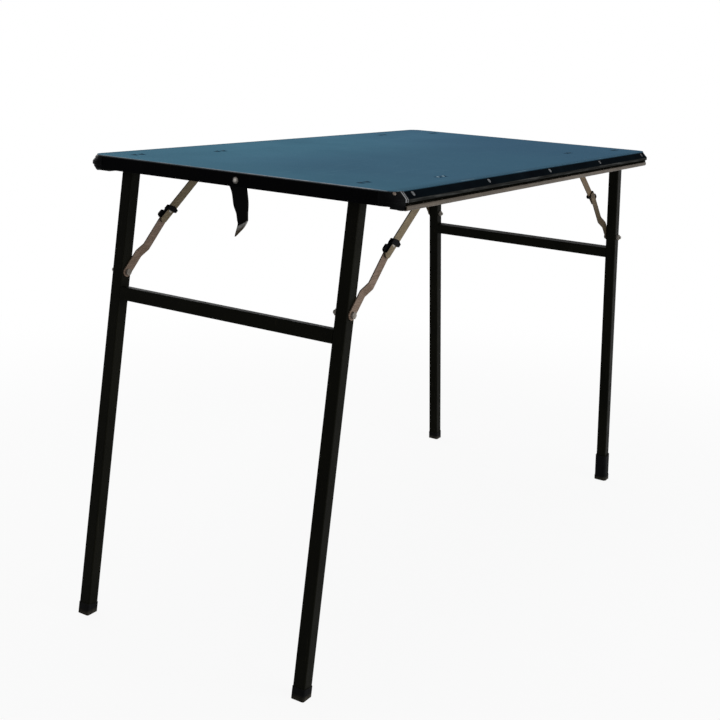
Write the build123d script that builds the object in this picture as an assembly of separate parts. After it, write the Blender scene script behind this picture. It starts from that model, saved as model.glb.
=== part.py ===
from build123d import *
from math import asin, atan2, cos, degrees, hypot, radians, sin, sqrt
import os

# Folding camping table: a sheet-metal top on rails, two folding leg frames and four folding stays.
# X runs along the length, Y across the width, Z up. The origin is on the floor under the middle.
# The left end is modelled, and the right end is the same end turned half a turn about Z.

# Driving dimensions in mm and degrees
TABLE_LENGTH = 1050.0
TABLE_WIDTH = 560.0
TABLE_HEIGHT = 750.0
SPLAY_ANGLE = 7.0

# Top sheet
SHEET_THICKNESS = 0.8
FLANGE_RUN = 10.5
FLANGE_DROP = 11.0
LIP_HEIGHT = 5.0
CORNER_LENGTH = 23.0

# Side rails along the long sides
GROOVE_HEIGHT = 4.5
GROOVE_DEPTH = 4.5
BEAD_HEIGHT = 7.5
BEAD_SETBACK = 1.0
BEAD_RADIUS = 2.6
SIDE_RAIL_WIDTH = 24.0
RAIL_WALL = 1.6

# End rails along the short ends
END_RAIL_HEIGHT = 21.2
END_RAIL_DEPTH = 20.0

# Corner caps
CAP_OVERHANG = 1.2
CAP_RECESS = 2.2
CAP_GROOVE_DEPTH = 1.4
CAP_FOOT_INSET = 1.5
CAP_FOOT_RADIUS = 36.0
CAP_LENGTH = 34.0
CAP_HEEL = 6.0
CAP_BELLY = 20.0
CAP_STUB_LENGTH = 14.0
CAP_RIVET_TURN = 38.0
CAP_RIVET_HEAD_RADIUS = 2.8
CAP_RIVET_LENGTH = 5.0

# Leg frames of square tube
LEG_SIZE = 21.0
LEG_WALL = 1.5
LEG_CORNER_RADIUS = 2.2
LEG_INSET = 39.0
NEST_GAP = 11.0
PIVOT_INSET = 42.0
PIVOT_DROP = 17.0
TUBE_STUB = 6.5
CROSSBAR_DISTANCE = 205.0
FOOT_HEIGHT = 17.0
FOOT_WALL = 0.9
FOOT_FLOOR = 4.0

# Levelling foot on one leg
BOOT_LENGTH = 60.0
BOOT_WALL = 1.7
BOOT_FLOOR = 9.0
BOOT_CORNER_RADIUS = 5.0
BOOT_RIM_HEIGHT = 5.0
BOOT_RIM_STEP = 0.8
STUD_RADIUS = 4.0
STUD_LENGTH = 52.0
STUD_SEAT = 4.0
FOOT_NUT_RISE = 14.0
FOOT_NUT_LENGTH = 15.0

# Folding stays of flat steel
STAY_BOLT_DISTANCE = 170.5
STAY_ANCHOR_DISTANCE = 168.0
KNEE_RISE = 9.8
LINK_WIDTH = 16.0
LINK_THICKNESS = 2.0
LINK_SPACING = 1.9
JOGGLE_START = 37.5
JOGGLE_LENGTH = 15.0
JOGGLE_DEPTH = 7.0
JOGGLE_RADIUS = 7.0
UPPER_LINK_TAIL = 26.0

# Lock slider on each upper link
SLIDER_TAB_START = -7.0
SLIDER_TAB_END = 2.5
SLIDER_PEAK = 10.0
SLIDER_FAR_START = 5.5
SLIDER_FAR_END = 11.0
SLIDER_SIDE_WALL = 2.6
SLIDER_FRONT_WALL = 1.5
SLIDER_LIP = 1.4
SLIDER_ARM_WIDTH = 1.2
TAB_START = -25.0
TAB_LENGTH = 13.0
TAB_REACH = 6.5
TAB_THICKNESS = 3.0
TAB_RADIUS = 3.0

# Brackets under the sheet
BRACKET_THICKNESS = 2.0
LEG_BASE_FRONT = 11.0
LEG_BASE_BACK = 30.0
CHEEK_BACK = 14.0
EAR_RADIUS = 8.5
STAY_BASE_WIDTH = 20.0
STAY_BASE_FRONT = 7.0
STAY_BASE_BACK = 30.0
RIVET_SPACING = 17.0
LEG_RIVET_START = 5.0
STAY_RIVET_START = 4.0

# Rivets, pins and bolts
PIN_RADIUS = 3.0
PIN_HEAD_RADIUS = 5.0
PIN_HEAD_HEIGHT = 1.6
KNUCKLE_RADIUS = 2.5
KNUCKLE_HEAD_RADIUS = 4.4
KNUCKLE_HEAD_HEIGHT = 1.3
RIVET_RADIUS = 2.0
RIVET_HEAD_RADIUS = 3.8
RIVET_HEAD_HEIGHT = 1.2
RIVET_TAIL_RADIUS = 3.0
HEX_FLATS = 10.0
BOLT_HEAD_HEIGHT = 3.6
NUT_HEIGHT = 5.0
BOLT_TIP = 3.0

# Hanging latch behind the left end rail
LATCH_THICKNESS = 3.0
LATCH_LENGTH = 84.5
LATCH_WIDTH = 31.7
LATCH_EYE_RADIUS = 10.0
LATCH_RIVET_DROP = 12.5
LATCH_OFFSET = -11.0
LATCH_HEAD_RADIUS = 5.2
LATCH_HEAD_HEIGHT = 2.0
LATCH_BEND_DISTANCE = 61.0
LATCH_BEND_ANGLE = 35.0
LATCH_BEND_RADIUS = 4.0

# Clearances
RUNNING_FIT = 0.05
FACE_GAP = 0.3
SLIDE_GAP = 0.35
INSERT_GAP = 0.1
OVERRUN = 5.0

# Counts, and shares of the size that carries each
FLANGE_RIVET_COUNT = 5
FLANGE_RIVET_SPAN_SHARE = 0.914
CAP_RIVET_SHARE = 0.333
LATCH_LEFT_SHARES = [(0.864, 0.141), (0.669, 0.299), (0.533, 0.516), (0.375, 0.645),
                     (0.319, 0.728), (0.205, 0.775), (0.129, 0.849), (0.032, 1.0)]
LATCH_RIGHT_SHARES = [(-0.145, 0.895), (-0.268, 0.728), (-0.256, 0.637), (-0.262, 0.444),
                      (-0.218, 0.299), (-0.136, 0.148)]

# Sizes of the top that follow
half_length = TABLE_LENGTH / 2
half_width = TABLE_WIDTH / 2
sheet_underside = TABLE_HEIGHT - SHEET_THICKNESS
flange_outer = half_width + FLANGE_RUN
flange_end = TABLE_HEIGHT - FLANGE_DROP
lip_end = flange_end - LIP_HEIGHT
groove_end = lip_end - GROOVE_HEIGHT
rail_bottom = groove_end - BEAD_HEIGHT
rail_neck = flange_outer - GROOVE_DEPTH
rail_inner = rail_neck - SIDE_RAIL_WIDTH
rail_reach = half_length - CORNER_LENGTH
end_rail_bottom = sheet_underside - END_RAIL_HEIGHT
end_rail_inner = half_length - END_RAIL_DEPTH
cap_end = flange_outer - CAP_LENGTH
flange_angle = degrees(atan2(FLANGE_DROP, FLANGE_RUN))

# Sizes of the leg frames that follow
pivot_x = -(half_length - PIVOT_INSET)
pivot_z = TABLE_HEIGHT - PIVOT_DROP
leg_length = pivot_z / cos(radians(SPLAY_ANGLE))
fold_angle = SPLAY_ANGLE + 90
far_leg_y = half_width - LEG_INSET - LEG_SIZE / 2
near_leg_y = -(far_leg_y - LEG_SIZE - NEST_GAP)
far_stay_y = far_leg_y - LEG_SIZE / 2
near_stay_y = near_leg_y - LEG_SIZE / 2

# Stay linkage: bolt on the leg, anchor under the sheet and knee between the two links
bolt_x = pivot_x - STAY_BOLT_DISTANCE * sin(radians(SPLAY_ANGLE))
bolt_z = pivot_z - STAY_BOLT_DISTANCE * cos(radians(SPLAY_ANGLE))
anchor_x = pivot_x + STAY_ANCHOR_DISTANCE
anchor_z = pivot_z
stay_span = hypot(anchor_x - bolt_x, anchor_z - bolt_z)
span_x = (anchor_x - bolt_x) / stay_span
span_z = (anchor_z - bolt_z) / stay_span
length_difference = STAY_BOLT_DISTANCE - STAY_ANCHOR_DISTANCE
knee_shift = length_difference / 2 * sqrt(1 + KNEE_RISE**2 / ((stay_span**2 - length_difference**2) / 4))
knee_along = stay_span / 2 + knee_shift
knee_x = bolt_x + knee_along * span_x - KNEE_RISE * span_z
knee_z = bolt_z + knee_along * span_z + KNEE_RISE * span_x
lower_length = hypot(knee_x - bolt_x, knee_z - bolt_z)
upper_length = hypot(anchor_x - knee_x, anchor_z - knee_z)
lower_angle = degrees(atan2(knee_z - bolt_z, knee_x - bolt_x))
upper_angle = degrees(atan2(anchor_z - knee_z, anchor_x - knee_x))

# Depths of the stay pieces, measured out from the face of the leg
pad_top = FACE_GAP + LINK_THICKNESS
lower_base = FACE_GAP + JOGGLE_DEPTH
lower_top = lower_base + LINK_THICKNESS
upper_base = lower_top + LINK_SPACING
upper_top = upper_base + LINK_THICKNESS
slider_top = upper_top + KNUCKLE_HEAD_HEIGHT + SLIDE_GAP + SLIDER_FRONT_WALL
bracket_base = upper_top + FACE_GAP
slider_half = LINK_WIDTH / 2 + SLIDE_GAP + SLIDER_SIDE_WALL


def save(name, *shapes):
    solids = [solid for shape in shapes for solid in shape.solids()]
    export_step(solids[0] if len(solids) == 1 else Compound(solids), f"parts/{name}.step")


def half_turn(shape):
    return Rot(0, 0, 180) * shape


def block(x0, x1, y0, y1, z0, z1):
    return Pos((x0 + x1) / 2, (y0 + y1) / 2, (z0 + z1) / 2) * Box(x1 - x0, y1 - y0, z1 - z0)


def along_x(face_yz, x0, x1):
    return extrude(Plane.YZ.offset(x0) * face_yz, x1 - x0)


def polygon(points):
    return make_face(Polyline(*points, close=True))


def rod_y(radius, y0, y1):
    return Pos(0, (y0 + y1) / 2, 0) * Rot(90, 0, 0) * Cylinder(radius, y1 - y0)


def hexagon_y(y0, y1):
    outline = RegularPolygon(HEX_FLATS / 2, 6, major_radius=False)
    return extrude(Plane.XZ.offset(-y1) * outline, y1 - y0)


def miter(before, corner, after, gap):
    """Corner of a line drawn inside an outline, at the given gap from both of its edges."""
    first = Vector(corner[0] - before[0], corner[1] - before[1]).normalized()
    second = Vector(after[0] - corner[0], after[1] - corner[1]).normalized()
    normal = (Vector(first.Y, -first.X) + Vector(second.Y, -second.X)).normalized()
    reach = gap / normal.dot(Vector(first.Y, -first.X))
    return (corner[0] + normal.X * reach, corner[1] + normal.Y * reach)


def dome_rivet(radius, head_radius, head_height, length):
    """Rivet along Z with its domed head above zero and its shank under it."""
    ball = (head_radius**2 + head_height**2) / (2 * head_height)
    half_arc = asin(head_radius / ball) / 2
    crown = (ball * sin(half_arc), head_height - ball + ball * cos(half_arc))
    edges = [
        ThreePointArc((0, head_height), crown, (head_radius, 0)),
        Polyline((head_radius, 0), (radius, 0), (radius, -length), (0, -length), (0, head_height)),
    ]
    return revolve(Plane.XZ * make_face(edges), Axis.Z)


def set_rivet(radius, head_radius, head_height, grip, tail_radius, tail_height):
    """Domed rivet with a flat tail set behind the pieces that it holds."""
    tail = Pos(0, 0, -grip - tail_height / 2) * Cylinder(tail_radius, tail_height)
    return dome_rivet(radius, head_radius, head_height, grip) + tail


# Top sheet with its down-turned flanges

flange_line = [
    (half_width - FLANGE_RUN, TABLE_HEIGHT),
    (half_width, TABLE_HEIGHT),
    (flange_outer, flange_end),
    (flange_outer, lip_end),
]
inner_bend = miter(flange_line[0], flange_line[1], flange_line[2], SHEET_THICKNESS)
inner_lip = miter(flange_line[1], flange_line[2], flange_line[3], SHEET_THICKNESS)
inner_end = (flange_outer - SHEET_THICKNESS, lip_end)


def flange_rivet_places():
    span = TABLE_LENGTH * FLANGE_RIVET_SPAN_SHARE
    step = span / (FLANGE_RIVET_COUNT - 1)
    y = -(half_width + FLANGE_RUN / 2)
    z = TABLE_HEIGHT - FLANGE_DROP / 2
    near = [Pos(i * step - span / 2, y, z) * Rot(flange_angle, 0, 0) for i in range(FLANGE_RIVET_COUNT)]
    return near + [Rot(0, 0, 180) * place for place in near]


def bracket_rivet_places():
    leg_x = [pivot_x + LEG_RIVET_START, pivot_x + LEG_RIVET_START + RIVET_SPACING]
    stay_x = [anchor_x + STAY_RIVET_START, anchor_x + STAY_RIVET_START + RIVET_SPACING]
    stay_reach = bracket_base + (BRACKET_THICKNESS + STAY_BASE_WIDTH) / 2
    left = [Pos(x, y, TABLE_HEIGHT) for y in (far_leg_y, near_leg_y) for x in leg_x]
    left += [Pos(x, y - stay_reach, TABLE_HEIGHT) for y in (far_stay_y, near_stay_y) for x in stay_x]
    return left + [Rot(0, 0, 180) * place for place in left]


def corner_rivet_places():
    """Places on the rounded slopes of the corner caps, turned about the corner of each."""
    across = sin(radians(CAP_RIVET_TURN))
    ahead = cos(radians(CAP_RIVET_TURN))
    x = rail_reach + CORNER_LENGTH * across + CAP_OVERHANG * CAP_RIVET_SHARE
    y = half_width - CAP_RECESS - CORNER_LENGTH * (1 - ahead) + FLANGE_RUN * CAP_RIVET_SHARE
    z = TABLE_HEIGHT - FLANGE_DROP * CAP_RIVET_SHARE
    tilt = degrees(atan2(FLANGE_DROP, CAP_OVERHANG * across + FLANGE_RUN * ahead))
    near = [Pos(side * x, -y, z) * Rot(0, 0, side * CAP_RIVET_TURN) * Rot(tilt, 0, 0) for side in (-1, 1)]
    return near + [Rot(0, 0, 180) * place for place in near]


def rivet_holes(places):
    hole = Cylinder(RIVET_RADIUS + RUNNING_FIT, 4 * OVERRUN)
    return [place * hole for place in places]


def make_top_panel():
    panel = extrude(Pos(0, 0, sheet_underside) * RectangleRounded(TABLE_LENGTH, TABLE_WIDTH, CORNER_LENGTH),
                    SHEET_THICKNESS)
    section = polygon(flange_line + [inner_end, inner_lip, inner_bend,
                                     (flange_line[0][0], sheet_underside)])
    flange = along_x(section, -rail_reach, rail_reach)
    panel = panel + flange + half_turn(flange)
    return panel - rivet_holes(flange_rivet_places() + bracket_rivet_places())


def make_side_rail():
    bead = flange_outer - BEAD_SETBACK
    outline = polygon([
        (rail_inner, sheet_underside), inner_bend, inner_lip, inner_end,
        (rail_neck, lip_end), (rail_neck, groove_end),
        (bead, groove_end), (bead, rail_bottom), (rail_inner, rail_bottom),
    ])
    corners = [v for v in outline.vertices() if v.X > rail_neck and v.Y <= groove_end + RUNNING_FIT]
    outline = fillet(corners, BEAD_RADIUS)
    section = outline - offset(outline, -RAIL_WALL)
    rail = along_x(section, -rail_reach, rail_reach)
    return rail - rivet_holes(flange_rivet_places())


def make_end_rail():
    outer = block(-half_length, -end_rail_inner, -cap_end, cap_end, end_rail_bottom, sheet_underside)
    inner = block(-half_length + RAIL_WALL, -end_rail_inner - RAIL_WALL, -cap_end - OVERRUN, cap_end + OVERRUN,
                  end_rail_bottom + RAIL_WALL, sheet_underside - RAIL_WALL)
    return outer - inner


def cap_plan(height, end, side, radius):
    return Pos(0, 0, height) * RectangleRounded(2 * end, 2 * side, radius)


def make_corner_cap():
    """Cap of the left far corner, with a stub into each of the two rails that it joins."""
    heel = flange_outer - CAP_HEEL
    belly = flange_outer - CAP_BELLY
    end = half_length + CAP_OVERHANG
    side = flange_outer - CAP_RECESS
    edges = [
        Polyline((belly, end_rail_bottom), (cap_end, end_rail_bottom), (cap_end, sheet_underside),
                 (flange_outer, sheet_underside), (flange_outer, rail_bottom), (heel, rail_bottom)),
        Spline((heel, rail_bottom), (belly, end_rail_bottom), tangents=((-1, 0), (-1, 0))),
    ]
    shell = loft([
        cap_plan(rail_bottom, end - CAP_FOOT_INSET, side - CAP_FOOT_INSET, CAP_FOOT_RADIUS),
        cap_plan(lip_end, end, side, CORNER_LENGTH),
        cap_plan(flange_end, end, side, CORNER_LENGTH),
        cap_plan(TABLE_HEIGHT, half_length, half_width - CAP_RECESS, CORNER_LENGTH),
    ], ruled=True)
    body = along_x(make_face(edges), -end, -rail_reach) & shell
    core = cap_plan(groove_end, end - CAP_GROOVE_DEPTH, side - CAP_GROOVE_DEPTH, CORNER_LENGTH)
    groove = block(-end, -rail_reach, 0, flange_outer, groove_end, lip_end)
    body = body - (groove - extrude(core, GROOVE_HEIGHT))
    skin = RAIL_WALL + INSERT_GAP
    side_stub = block(-rail_reach, -rail_reach + CAP_STUB_LENGTH, rail_inner + skin, half_width - skin,
                      rail_bottom + skin, sheet_underside - skin)
    end_stub = block(-half_length + skin, -end_rail_inner - skin, cap_end - CAP_STUB_LENGTH, cap_end,
                     end_rail_bottom + skin, sheet_underside - skin)
    return body + side_stub + end_stub


# Brackets under the sheet

def cheek_outline(back):
    top = sheet_underside - pivot_z
    wedge = polygon([(-EAR_RADIUS, 0), (EAR_RADIUS, 0), (back, top), (-LEG_BASE_FRONT, top)])
    return wedge + Circle(EAR_RADIUS)


def make_leg_bracket():
    """Channel bracket around the top of a leg, at the pivot."""
    top = sheet_underside - pivot_z
    inside = LEG_SIZE / 2 + FACE_GAP
    outside = inside + BRACKET_THICKNESS
    base = block(-LEG_BASE_FRONT, LEG_BASE_BACK, -outside, outside, top - BRACKET_THICKNESS, top)
    cheeks = extrude(Plane.XZ.offset(-outside) * cheek_outline(CHEEK_BACK), 2 * outside)
    cheeks = cheeks - block(-2 * LEG_BASE_BACK, 2 * LEG_BASE_BACK, -inside, inside, -2 * EAR_RADIUS, top)
    return base + cheeks - rod_y(PIN_RADIUS + RUNNING_FIT, -outside - OVERRUN, outside + OVERRUN)


def make_stay_bracket():
    """Angle bracket at a stay's anchor, with its base turned away from the leg."""
    top = sheet_underside - anchor_z
    wedge = polygon([(-EAR_RADIUS, 0), (EAR_RADIUS, 0), (CHEEK_BACK, top), (-STAY_BASE_FRONT, top)])
    cheek = extrude(Plane.XZ.offset(bracket_base) * (wedge + Circle(EAR_RADIUS)), BRACKET_THICKNESS)
    base = block(-STAY_BASE_FRONT, STAY_BASE_BACK, -bracket_base - STAY_BASE_WIDTH, -bracket_base,
                 top - BRACKET_THICKNESS, top)
    return base + cheek - rod_y(PIN_RADIUS + RUNNING_FIT, -bracket_base - 2 * OVERRUN, 0)


# Leg frames, in their own axes: the pivot at the origin and the legs down along -Z

frame_place = Pos(pivot_x, 0, pivot_z) * Rot(0, SPLAY_ANGLE, 0)


def tube_outline(grow):
    size = LEG_SIZE + 2 * grow
    return RectangleRounded(size, size, LEG_CORNER_RADIUS + grow)


def floor_cut(height):
    """Everything under the given height, for cutting a splayed tube level with the floor."""
    reach = TABLE_LENGTH
    return block(-reach, reach, -reach, reach, -TABLE_HEIGHT, height)


def leg_prism(outline, top, y):
    """Prism along a leg, from a height near its top down past the floor."""
    bottom = -leg_length - LEG_SIZE
    return frame_place * (Pos(0, y, bottom) * extrude(outline, top - bottom))


def make_leg(y, floor):
    tube = tube_outline(0) - tube_outline(-LEG_WALL)
    leg = leg_prism(tube, TUBE_STUB, y) - floor_cut(floor)
    hole = rod_y(PIN_RADIUS + RUNNING_FIT, -LEG_SIZE, LEG_SIZE)
    places = [Pos(0, y, 0), Pos(0, y, -STAY_BOLT_DISTANCE)]
    return leg - [frame_place * place * hole for place in places]


def make_crossbar():
    section = Plane.XZ * (tube_outline(0) - tube_outline(-LEG_WALL))
    low = near_leg_y + LEG_SIZE / 2
    high = far_leg_y - LEG_SIZE / 2
    return frame_place * Pos(0, high, -CROSSBAR_DISTANCE) * extrude(section, high - low)


def make_foot(y):
    top = -leg_length + FOOT_HEIGHT
    outer = leg_prism(tube_outline(FOOT_WALL), top, y) - floor_cut(0)
    socket = leg_prism(tube_outline(INSERT_GAP), top + OVERRUN, y) - floor_cut(FOOT_FLOOR)
    return outer - socket


def make_boot(y):
    size = LEG_SIZE + 2 * (SLIDE_GAP + BOOT_WALL)
    rim_size = size + 2 * BOOT_RIM_STEP
    top = -leg_length + BOOT_LENGTH
    body = leg_prism(RectangleRounded(size, size, BOOT_CORNER_RADIUS), top, y)
    rim = leg_prism(RectangleRounded(rim_size, rim_size, BOOT_CORNER_RADIUS + BOOT_RIM_STEP),
                    -leg_length + 2 * BOOT_RIM_HEIGHT, y)
    outer = body + rim - floor_cut(0)
    socket = leg_prism(tube_outline(SLIDE_GAP), top + OVERRUN, y) - floor_cut(BOOT_FLOOR)
    return outer - socket - stud_rod(y, STUD_RADIUS + RUNNING_FIT)


def stud_rod(y, radius):
    rod = Cylinder(radius, STUD_LENGTH, align=(Align.CENTER, Align.CENTER, Align.MIN))
    return frame_place * Pos(0, y, -leg_length + STUD_SEAT) * rod


def make_foot_nut(y):
    size = LEG_SIZE - 2 * (LEG_WALL + INSERT_GAP)
    nut = extrude(RectangleRounded(size, size, LEG_CORNER_RADIUS - LEG_WALL), FOOT_NUT_LENGTH)
    nut = nut - Cylinder(STUD_RADIUS + RUNNING_FIT, 4 * FOOT_NUT_LENGTH)
    return frame_place * Pos(0, y, -leg_length + FOOT_NUT_RISE) * nut


def make_leg_pin():
    """Headed pin across a leg bracket, along Y."""
    outside = LEG_SIZE / 2 + FACE_GAP + BRACKET_THICKNESS
    end = outside + PIN_HEAD_HEIGHT
    pin = rod_y(PIN_RADIUS, -end, end)
    return pin + rod_y(PIN_HEAD_RADIUS, outside, end) + rod_y(PIN_HEAD_RADIUS, -end, -outside)


# Stays, in their own axes: X along the link, Z across it, and out from the leg along -Y

def link_place(x, y, z, angle):
    return Pos(x, y, z) * Rot(0, -angle, 0)


def link_hole(along, radius):
    return Pos(along, 0, 0) * rod_y(radius + RUNNING_FIT, -slider_top - OVERRUN, OVERRUN)


def slot_prism(start, end, base, top):
    outline = Pos((start + end) / 2, 0) * SlotCenterToCenter(end - start, LINK_WIDTH)
    return extrude(Plane.XZ.offset(base) * outline, top - base)


def make_lower_link():
    """Flat link from the leg bolt to the knee, with a joggle that carries it clear of the leg."""
    reach = LINK_WIDTH / 2
    middle = FACE_GAP + LINK_THICKNESS / 2
    path = FilletPolyline(
        (-reach, -middle),
        (JOGGLE_START, -middle),
        (JOGGLE_START + JOGGLE_LENGTH, -middle - JOGGLE_DEPTH),
        (lower_length + reach, -middle - JOGGLE_DEPTH),
        radius=JOGGLE_RADIUS,
    )
    strip = extrude(Pos(0, 0, -LINK_WIDTH / 2) * trace(path, LINK_THICKNESS), LINK_WIDTH)
    link = strip & slot_prism(0, lower_length, 0, lower_top + OVERRUN)
    return link - link_hole(0, PIN_RADIUS) - link_hole(lower_length, KNUCKLE_RADIUS)


def make_upper_link():
    """Straight link from the knee at the origin to the anchor, with a tail past the knee."""
    tail = UPPER_LINK_TAIL - LINK_WIDTH / 2
    link = slot_prism(-tail, upper_length, upper_base, upper_top)
    return link - link_hole(0, KNUCKLE_RADIUS) - link_hole(upper_length, PIN_RADIUS)


def make_slider():
    """Lock slider that grips both edges of the upper link, with a thumb tab on the leg's side."""
    start = SLIDER_TAB_START - OVERRUN
    end = SLIDER_FAR_END + OVERRUN
    inner = LINK_WIDTH / 2 + SLIDE_GAP
    grip = LINK_WIDTH / 2 - SLIDER_LIP
    base = lower_top + SLIDE_GAP
    link_bottom = upper_base - SLIDE_GAP
    front = slider_top - SLIDER_FRONT_WALL
    body = block(start, end, -slider_top, -base, -slider_half, slider_half)
    body = fillet(body.edges().filter_by(Axis.X).group_by(Axis.Y)[0], SLIDER_FRONT_WALL)
    body = body - block(start, end, -front, -link_bottom, -inner, inner)
    body = body - block(start, end, -link_bottom, 0, -grip, grip)
    outline = polygon([(SLIDER_TAB_START, slider_half), (SLIDER_TAB_END, slider_half), (SLIDER_PEAK, 0),
                       (SLIDER_FAR_END, -slider_half), (SLIDER_FAR_START, -slider_half)])
    ring = body & extrude(Plane.XZ.offset(base) * outline, slider_top - base)
    arm = block(TAB_START, SLIDER_TAB_END, -slider_top, -base, inner, inner + SLIDER_ARM_WIDTH)
    tab = block(TAB_START, TAB_START + TAB_LENGTH, -base - TAB_THICKNESS, -base, inner, inner + TAB_REACH)
    tab = fillet(tab.edges().filter_by(Axis.Y).group_by(Axis.Z)[-1], TAB_RADIUS)
    return ring + arm + tab


def make_knuckle_front():
    """Front half of the knee rivet, kept by the upper link, with the spacer behind it."""
    rivet = set_rivet(KNUCKLE_RADIUS, KNUCKLE_HEAD_RADIUS, KNUCKLE_HEAD_HEIGHT, LINK_THICKNESS,
                      KNUCKLE_HEAD_RADIUS, LINK_SPACING - FACE_GAP)
    return Pos(0, -upper_top, 0) * Rot(90, 0, 0) * rivet


def make_knuckle_back():
    """Back half of the knee rivet, kept by the lower link and flush with its front."""
    rivet = dome_rivet(KNUCKLE_RADIUS, KNUCKLE_HEAD_RADIUS, KNUCKLE_HEAD_HEIGHT, LINK_THICKNESS)
    return Pos(lower_length, -lower_base, 0) * Rot(-90, 0, 0) * rivet


def make_anchor_pin():
    """Rivet through a stay bracket and the top end of the upper link, along Y."""
    out = bracket_base + BRACKET_THICKNESS
    back = upper_base - FACE_GAP
    pin = set_rivet(PIN_RADIUS, PIN_HEAD_RADIUS, PIN_HEAD_HEIGHT, out - back, PIN_HEAD_RADIUS, PIN_HEAD_HEIGHT)
    return Pos(0, -out, 0) * Rot(90, 0, 0) * pin


def make_stay_bolt():
    """Bolt through the lower link and the leg, with its head on the link's side."""
    head = pad_top + FACE_GAP
    end = LEG_SIZE + NUT_HEIGHT + BOLT_TIP
    return rod_y(PIN_RADIUS, -head, end) + hexagon_y(-head - BOLT_HEAD_HEIGHT, -head)


def make_stay_nut():
    nut = hexagon_y(LEG_SIZE, LEG_SIZE + NUT_HEIGHT)
    return nut - rod_y(PIN_RADIUS + RUNNING_FIT, 0, 2 * LEG_SIZE)


# Hanging latch, in the plane behind the end rail

latch_x = -end_rail_inner + FACE_GAP
latch_z = TABLE_HEIGHT - LATCH_RIVET_DROP


def latch_point(shares):
    return (shares[0] * LATCH_WIDTH, -shares[1] * LATCH_LENGTH)


def make_latch():
    """Tongue with an eye around its rivet and its tip bent outwards."""
    left = [latch_point(shares) for shares in LATCH_LEFT_SHARES]
    right = [latch_point(shares) for shares in LATCH_RIGHT_SHARES]
    edges = [Spline(*left), Line(left[-1], right[0]), Spline(*right), Line(right[-1], left[0])]
    eye = make_hull([Circle(LATCH_EYE_RADIUS).edge(), Line(left[0], right[-1])])
    outline = make_face(edges) + eye
    middle = latch_x + LATCH_THICKNESS / 2
    tip_x = middle - LATCH_LENGTH * sin(radians(LATCH_BEND_ANGLE))
    tip_z = -LATCH_BEND_DISTANCE - LATCH_LENGTH * cos(radians(LATCH_BEND_ANGLE))
    path = FilletPolyline((middle, LATCH_WIDTH), (middle, -LATCH_BEND_DISTANCE), (tip_x, tip_z),
                          radius=LATCH_BEND_RADIUS)
    strip = extrude(Plane.XZ.offset(-LATCH_WIDTH) * trace(path, LATCH_THICKNESS), 2 * LATCH_WIDTH)
    tongue = strip & along_x(outline, -half_length, -rail_reach + CORNER_LENGTH)
    tongue = tongue - Rot(0, 90, 0) * Cylinder(PIN_RADIUS + RUNNING_FIT, 4 * half_length)
    return Pos(0, LATCH_OFFSET, latch_z) * tongue


def make_latch_rivet():
    grip = END_RAIL_DEPTH + FACE_GAP + LATCH_THICKNESS + FACE_GAP
    rivet = set_rivet(PIN_RADIUS, LATCH_HEAD_RADIUS, LATCH_HEAD_HEIGHT, grip, PIN_HEAD_RADIUS, PIN_HEAD_HEIGHT)
    return Pos(-half_length, LATCH_OFFSET, latch_z) * Rot(0, -90, 0) * rivet


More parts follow.
